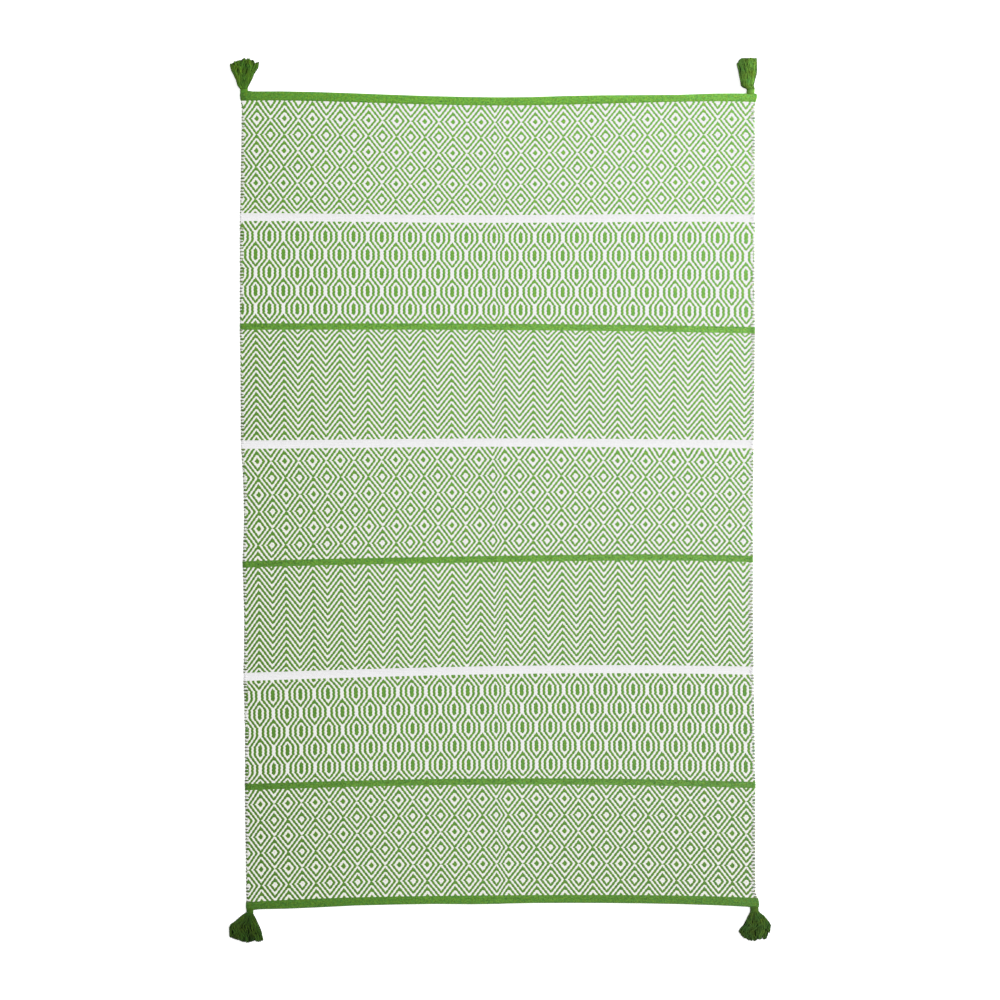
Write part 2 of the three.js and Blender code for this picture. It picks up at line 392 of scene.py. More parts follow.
def stations():
    """Every line of points across the rug, as arrays: section, row, rib, border shares."""
    lines = [
        (number, part.first + k + place, height, (k + place) / part.rows)
        for number, part in enumerate(sections())
        for k in range(part.rows)
        for place, height in ROW_PROFILE
    ]
    lines.append((len(sections()) - 1, HEM_ROWS, 0, 1))
    section, row, rib, share = np.array(lines).T
    return section.astype(int), row, rib, share


def rows_sag(parts, section, share, columns):
    """How far towards the near end each station's points have slipped, in mm.

    In a band it runs straight through the upper and the lower sag, which hold a quarter and
    three quarters down, and it dies away over the rows beside the band's borders.
    """
    places = np.linspace(0, 1, 5)
    upper = np.array([np.interp(columns, places, part.upper_sag) for part in parts])[section]
    lower = np.array([np.interp(columns, places, part.lower_sag) for part in parts])[section]
    down = share[:, None]
    inside = np.clip(np.minimum(down, 1 - down) / SAG_FADE, 0, 1)
    return (upper * (1.5 - 2 * down) + lower * (2 * down - 0.5)) * inside * inside * (3 - 2 * inside)


def rounded(distance):
    """The height share of a quarter ellipse at a distance in from a rounded edge."""
    left_over = 1 - np.clip(distance / EDGE_ROUNDING, 0, 1)
    return np.sqrt(np.clip(1 - left_over ** 2, 0, 1))


def hem_values(is_far, read):
    """A value of the hem at each station's own end; read works it out for one hem."""
    return np.where(is_far, read(HEMS[0]), read(HEMS[LAST_LINE]))


def thickness(x, y, share, into_band, is_hem, is_stripe):
    """The cloth's thickness in mm.

    A hem's falls to the band's by a smooth step that ends at its seam, and a stripe dips by a
    sine. Slow waves, two sines multiplied, and a bell curve along the crease are added.
    """
    step = np.clip((into_band + HEM_STEP) / HEM_STEP, 0, 1)
    hem = HEM_THICKNESS + (BAND_THICKNESS - HEM_THICKNESS) * step * step * (3 - 2 * step)
    dip = (STRIPE_THICKNESS - BAND_THICKNESS) * np.sin(np.pi * share)[:, None]
    thick = np.where(is_hem[:, None], hem, BAND_THICKNESS + np.where(is_stripe[:, None], dip, 0))
    thick = thick + WAVE_HEIGHT * np.sin(x / 61 + np.sin(y / 97)) * np.sin(y / 83 + 1.3)
    return thick + CREASE_HEIGHT * np.exp(-((x - CREASE_PLACE) / CREASE_HALF_WIDTH) ** 2)


def row_valleys(x, row, rib, is_hem):
    """How far the skin lies below the ribs' tops: the whole rib between two rows, more or less
    by a sine that runs differently along each row."""
    rib_height = ROW_RIB * np.where(is_hem, HEM_RIB_SHARE, 1)[:, None]
    uneven = 1 + RIB_UNEVENNESS * np.sin(x / 37 + 5 * np.sin(row[:, None].round() * 12.9))
    return (1 - rib)[:, None] * rib_height * uneven


def hem_shade(columns, width, is_far, is_hem):
    """How light the cloth is at each point: one, less in the hems by a bell curve of painted shade
    at each end, where the folds are packed, and by a straight slope towards the left selvedge."""
    left, right = [hem_values(is_far, lambda hem: hem.shades[side])[:, None] for side in (0, 1)]
    # Painted shade in the packed folds at each end, then a slope darker towards the left selvedge.
    packed = left * np.exp(-(columns * width / FOLD_SHADE_REACH) ** 2)
    packed = packed + right * np.exp(-((1 - columns) * width / FOLD_SHADE_REACH) ** 2)
    packed = packed + HEM_LEFT_SHADE * np.clip(1 - HEM_SHADE_FALL * columns, 0, 1)
    return 1 - packed * is_hem[:, None]


Cloth = namedtuple("Cloth", "section row rib left right x y high low shade upper_ends lower_ends")


def lay_cloth():
    """The rug's stations, and its points as grids, stations by columns.

    Along the rug each station lies between its section's two borders at its own share. A hem's
    ends stand out past the selvedges by their flares, which die away into the band, and turn
    in round corners. The thickness stands on the floor, and the upper and lower skins close on
    its middle height towards every edge as a quarter ellipse, less the valleys between rows.
    The warp ends at a point are counted from the selvedge, less the drift of the section.
    """
    section, row, rib, share = stations()
    columns = column_shares()
    parts = sections()
    tops = np.array([border_heights(part.top, columns) for part in parts])
    bottoms = np.array([border_heights(part.bottom, columns) for part in parts])
    y = tops[section] + (bottoms - tops)[section] * share[:, None]
    y = y - rows_sag(parts, section, share, columns)
    left, right = side_lines(y[:, np.argmin(abs(columns - 0.5))])

    is_hem = np.array([parts[s].kind == "hem" for s in section])
    is_stripe = np.array(["stripe" in parts[s].kind for s in section])
    is_far = section < len(parts) / 2
    from_end = np.minimum(y[0][None] - y, y - y[-1][None])
    depth = hem_values(is_far[:, None], lambda hem: through_five(hem.depths, columns))
    reach = np.clip(1 - from_end / CORNER_RADIUS, 0, 1)
    corner = CORNER_RADIUS * (1 - np.sqrt(1 - reach ** 2))[:, 0]
    into_hem = (from_end / depth)[:, 0]
    flare_left, flare_right = [
        hem_values(is_far, lambda hem: np.interp(into_hem, FLARE_STEPS, hem.flares[side] + (0,)))
        for side in (0, 1)
    ]
    selvedges = (left - flare_left, right + flare_right)
    cloth_left = selvedges[0] + np.where(is_hem, corner, LOOP_PROUD)
    cloth_right = selvedges[1] - np.where(is_hem, corner, LOOP_PROUD)
    width = (cloth_right - cloth_left)[:, None]
    x = cloth_left[:, None] + width * columns

    thick = thickness(x, y, share, from_end - depth, is_hem, is_stripe)
    from_side = np.minimum(columns, 1 - columns) * width
    close = rounded(from_side) * rounded(from_end)
    valley = row_valleys(x, row, rib, is_hem)
    high = thick / 2 * (1 + close) - valley * close
    low = thick / 2 * (1 - close) + valley * close
    shade = hem_shade(columns, width, is_far, is_hem)

    drift = np.array([through_five(part.drift, columns) for part in parts])[section[:-1]]
    full_width = (right - left)[:, None]
    share_across = (x - left[:, None]) / full_width
    upper_ends = end_count(share_across[:-1] - drift / full_width[:-1])
    lower_ends = end_count(share_across[1:] - drift / full_width[1:])
    return Cloth(section, row, rib, *selvedges, x, y, high, low, shade, upper_ends, lower_ends)


def face_rows(cloth):
    """The chart's row numbers above and below each line of faces. The last station of a
    section is the first of the next, so its number there goes on from the section's own."""
    section, row = cloth.section, cloth.row
    past_last = np.array([part.first + part.rows for part in sections()])
    same = section[1:] == section[:-1]
    return row[:-1], np.where(same, row[1:], past_last[section[:-1]])


def corner_values(upper, lower):
    """Values for the four corners of each face, in the order that grid_faces gives them."""
    return np.stack([upper[:, :-1], lower[:, :-1], lower[:, 1:], upper[:, 1:]], -1).reshape(-1, 4)


def weave_rug(cloth, materials):
    """The rug's one closed skin, with its weave coordinates on every face corner."""
    count, across = cloth.x.shape
    top = np.arange(count * across).reshape(count, across)
    under = top.copy()
    under[1:-1, 1:-1] = top.size + np.arange((count - 2) * (across - 2)).reshape(count - 2, across - 2)
    high = np.stack([cloth.x, cloth.y, cloth.high], -1)
    low = np.stack([cloth.x, cloth.y, cloth.low], -1)
    points = np.concatenate([high.reshape(-1, 3), low[1:-1, 1:-1].reshape(-1, 3)])
    faces = np.concatenate([grid_faces(top), grid_faces(under[:, ::-1])])
    kind_of = np.array([KINDS.index(part.kind) for part in sections()])
    slots = np.tile(np.repeat(kind_of[cloth.section[:-1]], across - 1), 2)
    rug = new_piece("kilim_cloth", points, faces.tolist(), materials, slots)

    upper_rows, lower_rows = [np.repeat(rows[:, None], across, 1) for rows in face_rows(cloth)]
    rows = corner_values(upper_rows, lower_rows)
    weave = []
    for face, step in ((0, 1), (1, -1)):
        ends = corner_values(cloth.upper_ends[:, ::step], cloth.lower_ends[:, ::step])
        weave.append(np.stack([ends, rows, np.full_like(rows, face)], -1))
    put_values(rug, "weave", np.concatenate(weave), "FLOAT_VECTOR", "CORNER")
    # The green times the hems' painted fold shade and their slope towards the left.
    shade = np.concatenate([cloth.shade.ravel(), cloth.shade[1:-1, 1:-1].ravel()])[:, None]
    put_values(rug, "dye", shade * green_yarn_colour(points[:, 0], points[:, 1]), "FLOAT_VECTOR")
    lay_out_map(rug, points, faces, len(rows))
    return rug


# The map's shares: where the cloth's length, its top's width and its underside's width start,
# and how much they take.
MAP_LENGTH = (0.004, 0.992)
MAP_TOP = (0.003, 0.70)
MAP_UNDERSIDE = (0.712, 0.284)


def lay_out_map(rug, points, faces, top_count):
    """The map that the finish is kept on: the top face fills its lower seven tenths, length
    across, and the underside the rest."""
    x, y = points[faces][..., 0], points[faces][..., 1]
    along = (y - points[:, 1].min()) / np.ptp(points[:, 1])
    across = (x - points[:, 0].min()) / np.ptp(points[:, 0])
    is_top = (np.arange(len(faces)) < top_count)[:, None]
    u = MAP_LENGTH[0] + MAP_LENGTH[1] * along
    on_underside = MAP_UNDERSIDE[0] + MAP_UNDERSIDE[1] * across
    v = np.where(is_top, MAP_TOP[0] + MAP_TOP[1] * across, on_underside)
    layer = rug.data.uv_layers.new(name="OFBake")
    layer.data.foreach_set("uv", np.stack([u, v], -1).astype(np.float32).ravel())


# Selvedges

def loop_centres(middle_x, middle_y, side):
    """Centre lines of a selvedge's loops, as loop, step, xyz.

    Each is an arc of an ellipse in a plane across the edge. It climbs out of the cloth, passes
    over the outer warps, bends down round the edge and turns in under it.
    """
    count = len(middle_x)
    reach = np.clip(rng.normal(LOOP_REACH[side], 0.9, count), 2.0, 6.0)[:, None]
    angle = np.linspace(*np.radians(LOOP_ARC), LOOP_STEPS)[None]
    swell = np.where(angle > 0, LOOP_RISE, LOOP_DROP)
    out = reach * (np.cos(angle) - 1) - LOOP_RADII[1] + rng.uniform(-0.5, 0.4, count)[:, None]
    quiet = np.sin(middle_y / 23 + side) * np.sin(middle_y / 51) > LOOP_SINKING[side]
    sunk = np.where(quiet, 0.7, rng.uniform(0, 0.35, count))[:, None]
    height = BAND_THICKNESS / 2 + swell * np.sin(angle) - sunk
    slant = rng.uniform(-0.5, 0.5, count)[:, None] * (np.cos(angle) - 1) / 2
    return np.stack([middle_x[:, None] + side * out, middle_y[:, None] + slant, height], -1)


def selvedge_loops(cloth, name, side, material):
    """Weft yarns that turn over the outermost warps, one a row: green and white in turn, and
    all of the stripe's colour in a stripe."""
    parts = sections()
    edge = 0 if side < 0 else -1
    line = cloth.left if side < 0 else cloth.right
    starts = np.flatnonzero(cloth.rib == 0)[:-1]
    kinds = np.array([parts[s].kind for s in cloth.section[starts]])
    starts = starts[kinds != "hem"]
    kinds = kinds[kinds != "hem"]
    ends = starts + len(ROW_PROFILE)
    count = len(starts)
    middle_x = (line[starts] + line[ends]) / 2
    middle_y = (cloth.y[starts, edge] + cloth.y[ends, edge]) / 2
    centres = loop_centres(middle_x, middle_y, side)
    run = unit(np.gradient(centres, axis=1))
    across = np.broadcast_to([0.0, 1.0, 0.0], run.shape)
    up = np.cross(across, run)
    around = turns(6)
    ring = np.stack([np.cos(around) * LOOP_RADII[0], np.sin(around) * LOOP_RADII[1]], -1)
    thick = rng.uniform(0.82, 1.05, count)[:, None, None, None]
    points, faces = closed_tubes(tubes(centres, across, up, ring * thick))
    points[:, 2] = np.maximum(points[:, 2], 0.02)
    piece = new_piece(name, points, faces, [material])
    in_green = kinds == "green stripe"
    green = np.where(in_green, 1, np.where(kinds == "white stripe", 0, np.arange(count) % 2))
    per_loop = len(points) // count
    tone = np.where(in_green, STRIPE_LOOP_TONE, rng.uniform(*LOOP_TONES[side], count))
    tint = np.where(in_green[:, None], 1.0, LOOP_TINTS[side])
    put_values(piece, "green", np.repeat(green, per_loop))
    dye = np.repeat(tone[:, None] * tint, per_loop, axis=0) * green_yarn_colour(points[:, 0], points[:, 1])
    put_values(piece, "dye", dye, "FLOAT_VECTOR")
    return piece


# Tassels

def side_shade(tassel, place):
    """How light the strands are at places from a tassel's left side, -1, to its right, 1: painted
    shade, darker on the side away from the light.
    """
    return np.interp(place, (-1, 1), tassel.tones[:2])


def wound_knot(tassel):
    """A tassel's head: a waisted barrel that starts inside the hem and grows out of it.

    Round the barrel the section is an ellipse. Along it the half width is a tenth less in the
    middle and closes at both ends as a low power of the sine, the height grows by a half
    towards the strands, and slanted turns of yarn swell the skin. Returns its points and how
    light each is painted: painted shade between the turns, and from side to side as the
    strands are.
    """
    half_width, half_length = tassel.knot
    half_length = half_length + KNOT_LAP / 2
    middle = tassel.hem + tassel.away * (half_length - KNOT_LAP)
    around, down = 44, 30
    turn = turns(around)[None]
    drop = np.linspace(0.02, np.pi - 0.02, down)[:, None]
    to_strands = (1 + tassel.away * np.cos(drop)) / 2
    wraps = abs(np.sin(2.2 * drop + 0.9 * np.cos(turn) + 0.5)) ** 0.6
    girth = np.sin(drop) ** 0.35 * (0.95 + 0.07 * wraps)
    waist = 0.9 + 0.12 * np.cos(drop) ** 2
    x = tassel.across + half_width * girth * waist * np.cos(turn)
    y = middle + half_length * np.cos(drop) * np.ones_like(turn)
    z = KNOT_HEIGHT * (0.68 + 0.32 * to_strands) * (1 + girth * np.sin(turn))
    # Painted shade: darker on the side away from the light and in the grooves between the turns.
    from_side = side_shade(tassel, np.cos(turn)) / sum(tassel.tones[:2]) * 2
    tone = tassel.tones[2] * from_side ** 1.4 * (0.72 + 0.38 * wraps)
    return np.stack([x, y, np.maximum(z, 0.05)], -1)[None], tone.ravel()


def fan_place(tassel, away, place):
    """Places across the rug inside a tassel's fan: from its left side, -1, to its right, 1."""
    left = np.interp(away, *zip(*tassel.left)) + STRAND_RADIUS * 0.9
    right = np.interp(away, *zip(*tassel.right)) - STRAND_RADIUS * 0.9
    return (left + right) / 2 + (right - left) / 2 * place


def strand_lines(tassel, root, tip, level, extra):
    """Centre lines of a tassel's strands, as strand, step, xyz.

    A strand leaves the knot at its root's place and ends at its tip's, both from -1 to 1
    between the fan's sides, with a slow wander on the way. Its length is read from the
    tassel's list at its tip. It starts inside the knot and comes down to its own level, higher
    in the middle of its run for the upper ones.
    """
    count = len(root)
    run = np.linspace(0, 1, STRAND_STEPS)[None]
    length = np.interp(tip, np.linspace(-1, 1, len(tassel.lengths)), tassel.lengths) + extra
    start = tassel.knot[1]
    away = start + (length[:, None] - STRAND_RADIUS - start) * run
    phase = rng.uniform(0, 2 * np.pi, (3, count, 1))
    wander = 0.05 * np.sin(run * 6 + phase[0]) + 0.035 * np.sin(run * 14 + phase[1])
    level = level[:, None]
    place = root[:, None] + (tip - root)[:, None] * run ** 1.3 + wander * (level + 0.3)
    loose = 0.84 + 0.16 * np.clip(run * 7, 0, 1)
    x = fan_place(tassel, away, np.clip(place, -1, 1) * loose)
    y = tassel.hem + tassel.away * away
    root_z = KNOT_HEIGHT + (level - 0.5) * 5.4
    tip_z = STRAND_RADIUS + level * 4.6
    down = 1 - (1 - np.clip(run * 1.3, 0, 1)) ** 2
    hump = np.sin(np.pi * run) * level * 1.2 + 0.5 * np.sin(run * 13 + phase[2]) * level
    z = root_z + (tip_z - root_z) * down + hump
    return np.stack([x, y, np.maximum(z, STRAND_RADIUS)], -1)


def yarn_tubes(centres, radius, around):
    """Two-ply yarn along centre lines: a circle with two lobes that turn steadily with the
    distance run, and a blunt tip."""
    run = unit(np.gradient(centres, axis=1))
    across = unit(np.cross(run, [0.0, 0.0, 1.0]))
    up = np.cross(across, run)
    angle = turns(around)
    twist = np.linspace(0, 13 * np.pi, centres.shape[1])[:, None]
    lobes = 0.82 + 0.26 * np.cos(angle - twist) ** 2
    taper = np.ones(centres.shape[1])
    taper[-2:] = [0.9, 0.55]
    size = radius[:, None, None] * lobes * taper[:, None]
    rings = np.stack([np.cos(angle) * size, np.sin(angle) * size], -1)
    return closed_tubes(tubes(centres, across, up, rings))


def joined(parts):
    """Several (points, faces) as one."""
    points, faces, count = [], [], 0
    for some_points, some_faces in parts:
        points.append(some_points)
        faces += [[v + count for v in face] for face in some_faces]
        count += len(some_points)
    return np.concatenate(points), faces


def make_tassel(tassel, material):
    """One tassel in one joined mesh: its knot, layers of plied strands and some stray hairs.

    The lowest layer lies side by side and is darkest, with painted shade that lightens layer by
    layer upwards. The upper ones cross one another, and their tips draw together into bunches,
    each a little longer or shorter than the next.
    """
    level = np.repeat(np.linspace(0, 1, len(LAYER_STRANDS)), LAYER_STRANDS)
    count = len(level)
    root = np.concatenate([np.linspace(-1, 1, strands) for strands in LAYER_STRANDS])
    root = np.clip(root + rng.uniform(-0.08, 0.08, count) * (level > 0), -1, 1)
    tip = np.clip(root + rng.normal(0, 0.17, count) * (level > 0), -1, 1)
    bunch = np.round((tip + 1) / 2 * BUNCHES).astype(int)
    tip = tip + (bunch / BUNCHES * 2 - 1 - tip) * (0.12 + 0.33 * level)
    bunch_reach = rng.uniform(-1, 1, BUNCHES + 1)[bunch] * (0.5 + 0.5 * level)
    extra = tassel.trim * (bunch_reach - rng.uniform(0, 1, count) ** 2 * (0.5 + 1.7 * level))
    thick = STRAND_RADIUS * np.where(level == 0, 1.3, 0.95) * rng.uniform(0.86, 1.14, count)
    strands = yarn_tubes(strand_lines(tassel, root, tip, level, extra), thick, 7)

    hair_root = rng.uniform(-0.9, 0.9, HAIRS)
    hair_tip = np.clip(hair_root + rng.normal(0, 0.45, HAIRS), -1, 1)
    hair_extra = rng.uniform(-5, 1.2, HAIRS) * min(1, tassel.trim)
    hair_lines = strand_lines(tassel, hair_root, hair_tip, np.full(HAIRS, HAIR_LEVEL), hair_extra)
    hairs = yarn_tubes(hair_lines, np.full(HAIRS, HAIR_RADIUS), 4)
    knot_points, knot_tones = wound_knot(tassel)
    knot = closed_tubes(knot_points)
    points, faces = joined([strands, hairs, knot])
    points[:, 2] = np.maximum(points[:, 2], 0.0)
    piece = new_piece(tassel.name + "_yarn", points, faces, [material])

    # Painted shade and light: lower layers darker, stray hairs on top lighter, each side as the tassel's
    # tones give; every strand also lighter or darker at random.
    strand_tone = (0.34 + 0.58 * level) * np.exp(rng.normal(0, 0.33, count))
    strand_tone = strand_tone * side_shade(tassel, tip)
    hair_tone = rng.uniform(0.9, 1.9, HAIRS) * side_shade(tassel, hair_tip)
    tones = np.concatenate([
        np.repeat(strand_tone, len(strands[0]) // count),
        np.repeat(hair_tone, len(hairs[0]) // HAIRS),
        knot_tones,
    ])
    put_values(piece, "dye", tones[:, None] * green_yarn_colour(points[:, 0], points[:, 1]), "FLOAT_VECTOR")
    return piece


# Materials

class Signal:
    """A number that a node gives out, so that sums of nodes read as sums."""

    def __init__(self, tree, socket):
        self.tree = tree
        self.socket = socket

    def __add__(self, other):
        return maths("ADD", self, other)

    def __sub__(self, other):
        return maths("SUBTRACT", self, other)

    def __mul__(self, other):
        return maths("MULTIPLY", self, other)


def feed(tree, socket, value):
    """Gives a socket a signal, or sets it to a plain value."""
    if isinstance(value, Signal):
        tree.links.new(value.socket, socket)
    else:
        socket.default_value = value


def wired(tree, node, inputs, output=0):
    """Feeds a node's inputs and returns one of its outputs."""
    for title, value in inputs.items():
        feed(tree, node.inputs[title], value)
    return Signal(tree, node.outputs[output])


def maths(operation, *values):
    """A Math node on signals and plain numbers."""
    tree = next(value.tree for value in values if isinstance(value, Signal))
    node = tree.nodes.new("ShaderNodeMath")
    node.operation = operation
    return wired(tree, node, dict(enumerate(values)))


def clamp(value, low, high):
    """A signal kept between two limits."""
    return maths("MINIMUM", maths("MAXIMUM", value, low), high)


def from_half(value):
    """How far the fraction of a signal is from a half."""
    return maths("ABSOLUTE", maths("FRACT", value) - 0.5)


def second_half(value, half):
    """1 in the second half of each of a signal's repeats, 0 in the first."""
    return maths("GREATER_THAN", maths("FLOORED_MODULO", value, 2 * half), half)


def smooth_step(value, low, high):
    """0 below low, 1 above high and a smooth rise between."""
    node = value.tree.nodes.new("ShaderNodeMapRange")
    node.interpolation_type = "SMOOTHSTEP"
    inputs = {"Value": value, "From Min": low, "From Max": high}
    return wired(value.tree, node, inputs, "Result")


def blend(share, first, second):
    """first where the share is 0, second where it is 1."""
    node = share.tree.nodes.new("ShaderNodeMix")
    node.data_type = "RGBA"
    return wired(share.tree, node, {0: share, 6: first, 7: second}, 2)


def vector_maths(operation, first, socket, second):
    """A Vector Math node; socket is the input that takes the second value."""
    node = first.tree.nodes.new("ShaderNodeVectorMath")
    node.operation = operation
    return wired(first.tree, node, {0: first, socket: second})


def scaled(colour, amount):
    """A colour times a number."""
    return vector_maths("SCALE", colour, "Scale", amount)


def times(first, second):
    """Two vectors or colours multiplied number by number."""
    return vector_maths("MULTIPLY", first, 1, second)


def attribute(tree, name, output="Fac"):
    """A value stored on the piece's mesh."""
    node = tree.nodes.new("ShaderNodeAttribute")
    node.attribute_name = name
    return Signal(tree, node.outputs[output])


def parts_of(vector):
    """The three numbers of a vector signal."""
    node = vector.tree.nodes.new("ShaderNodeSeparateXYZ")
    feed(vector.tree, node.inputs[0], vector)
    return [Signal(vector.tree, socket) for socket in node.outputs]


def vector_of(tree, *values):
    """A vector signal from three numbers."""
    return wired(tree, tree.nodes.new("ShaderNodeCombineXYZ"), dict(enumerate(values)))


def noise(vector, scale, detail=2.0):
    """Smooth noise from 0 to 1, about 0.5."""
    node = vector.tree.nodes.new("ShaderNodeTexNoise")
    return wired(vector.tree, node, {"Vector": vector, "Scale": scale, "Detail": detail})


def object_place(tree):
    """Places on the piece in metres."""
    node = tree.nodes.new("ShaderNodeTexCoord")
    return Signal(tree, node.outputs["Object"])


def new_group(name, inputs, outputs):
    """An empty node group; returns it, its input signals and its output node."""
    group = bpy.data.node_groups.new(name, "ShaderNodeTree")
    for title, kind in inputs:
        group.interface.new_socket(title, in_out="INPUT", socket_type="NodeSocket" + kind)
    for title, kind in outputs:
        group.interface.new_socket(title, in_out="OUTPUT", socket_type="NodeSocket" + kind)
    entry = group.nodes.new("NodeGroupInput")
    leave = group.nodes.new("NodeGroupOutput")
    return group, [Signal(group, socket) for socket in entry.outputs[:-1]], leave


def use_group(tree, group, **values):
    """Places a group in a tree and returns its outputs by name."""
    node = tree.nodes.new("ShaderNodeGroup")
    node.node_tree = group
    for title, value in values.items():
        feed(tree, node.inputs[title.replace("_", " ")], value)
    return {socket.name: Signal(tree, socket) for socket in node.outputs}


def give_out(group, leave, **values):
    """Feeds a group's outputs by name."""
    for title, value in values.items():
        feed(group, leave.inputs[title], value)


# The weaver's chart: half of the threading's repeat and the end at which it first turns, how
# far diamonds and hexagons climb, the row at which hexagons start to, and how much of the
# weave's stair is left in its slopes.
REPEAT_HALF = 11
FIRST_TURN = 2
DIAMOND_HALF = 10
HEXAGON_CLIMB = 6
HEXAGON_START = 7.5
STAIR_SHARE = 0.15
# How many steps are cut off the lines' points, where they point to the far end and the near.
FAR_BLUNT = 0.75
NEAR_BLUNT = 0.65
# The phases between which diamonds stay, so that their centres are whole, and how much
# smaller their green centres are drawn, over a rise between two more phases.
DIAMOND_PHASES = (1.1, 20.4)
CENTRE_CUT = 0.5
CENTRE_PHASES = (18.4, 19.5)


def threading(end):
    """The shaft step of a warp end: it climbs and falls by one, eleven each way."""
    return maths("PINGPONG", end - FIRST_TURN, REPEAT_HALF)


def treadling_group(pattern):
    """The step of a weft row in the weaver's chart, and 1 where the steps fall.

    Zigzags climb steadily. Diamonds climb and fall by ten. Hexagons do so by six, and stay
    for five rows at each turn. The fixed part of a step sets where green begins.
    """
    outputs = [("Step", "Float"), ("Falling", "Float")]
    group, (row,), leave = new_group("Treadling " + pattern, [("Row", "Float")], outputs)
    if pattern == "zigzag":
        step = row - 1.5
        falling = 0.0
    elif pattern == "diamond":
        step = maths("PINGPONG", row, DIAMOND_HALF) + 0.5
        falling = second_half(row, DIAMOND_HALF)
    else:
        climb_row = row - HEXAGON_START
        step = clamp(maths("PINGPONG", climb_row, REPEAT_HALF) - 2.5, 0, HEXAGON_CLIMB) - 8.5
        falling = second_half(climb_row, REPEAT_HALF)
    give_out(group, leave, Step=step, Falling=falling)
    return group


def twill_group(pattern):
    """The twill on opposites: which yarn shows, green or white, and how high it stands.

    The phase is the sum of a cell's two steps, part of the way from the weave's stair to a
    straight slope. It is green for two of every four. Going down the rug, the lines where
    green begins turn in sharp points, and those where it ends in blunt ones, for which the
    shaft's steps are cut short at their turns.
    """
    group, (weave, lean), leave = new_group(
        "Twill " + pattern,
        [("Weave", "Vector"), ("White Lean", "Float")],
        [("Green", "Float"), ("Rise", "Float"), ("Valley", "Float")],
    )
    treadling = treadling_group(pattern)
    end, row, face = parts_of(weave)
    place = object_place(group)
    serration = maths("SINE", row * np.pi) * 0.16
    end = end + (noise(place, 55.0) - 0.5) * 0.5 + serration
    row = row + (noise(place, 47.0) - 0.5) * 0.35
    stair_step = use_group(group, treadling, Row=maths("FLOOR", row))["Step"]
    sloped = use_group(group, treadling, Row=row - 0.5)
    falling = sloped["Falling"]
    stair_shaft = threading(maths("FLOOR", end))
    shaft = threading(end - 0.5)
    least = falling * (FAR_BLUNT - NEAR_BLUNT) + NEAR_BLUNT
    most = falling * (FAR_BLUNT - NEAR_BLUNT) + (REPEAT_HALF - FAR_BLUNT)
    blunt_shaft = clamp(shaft, least, most)

    def edge_of(some_shaft):
        """The phase, and how far inside green it is: below 0 in white, and less by the lean."""
        stair = (stair_shaft + stair_step) * STAIR_SHARE
        phase = stair + (some_shaft + sloped["Step"]) * (1 - STAIR_SHARE)
        if pattern == "diamond":
            phase = phase - smooth_step(phase, *CENTRE_PHASES) * CENTRE_CUT
            phase = clamp(phase, *DIAMOND_PHASES)
        phase = phase + face * 2
        return phase, maths("PINGPONG", phase + 2, 2) - 1 - lean

    phase, sharp = edge_of(shaft)
    blunt = edge_of(blunt_shaft)[1]
    downward = phase * (falling * -2 + 1)
    ends_green = maths("LESS_THAN", maths("FLOORED_MODULO", downward, 4), 2)
    edge = sharp + (blunt - sharp) * ends_green
    green = smooth_step(edge, -0.07, 0.07)
    rise = smooth_step(maths("ABSOLUTE", edge), 0.0, 0.6)
    valley = smooth_step(from_half(row), 0.34, 0.5)
    give_out(group, leave, Green=green, Rise=rise, Valley=valley)
    return group


def plain_group():
    """Plain weft-faced weave: each half row's yarn rises a little over every other end."""
    group, (weave,), leave = new_group(
        "Plain weave", [("Weave", "Vector")], [("Rise", "Float"), ("Valley", "Float")]
    )
    end, row = parts_of(weave)[:2]
    pick = row * 2
    offset = maths("FLOOR", pick)
    wave = maths("SINE", (end + offset) * np.pi)
    rise = maths("ABSOLUTE", wave) * 0.5 + 0.5
    give_out(group, leave, Rise=rise, Valley=smooth_step(from_half(pick), 0.3, 0.5))
    return group


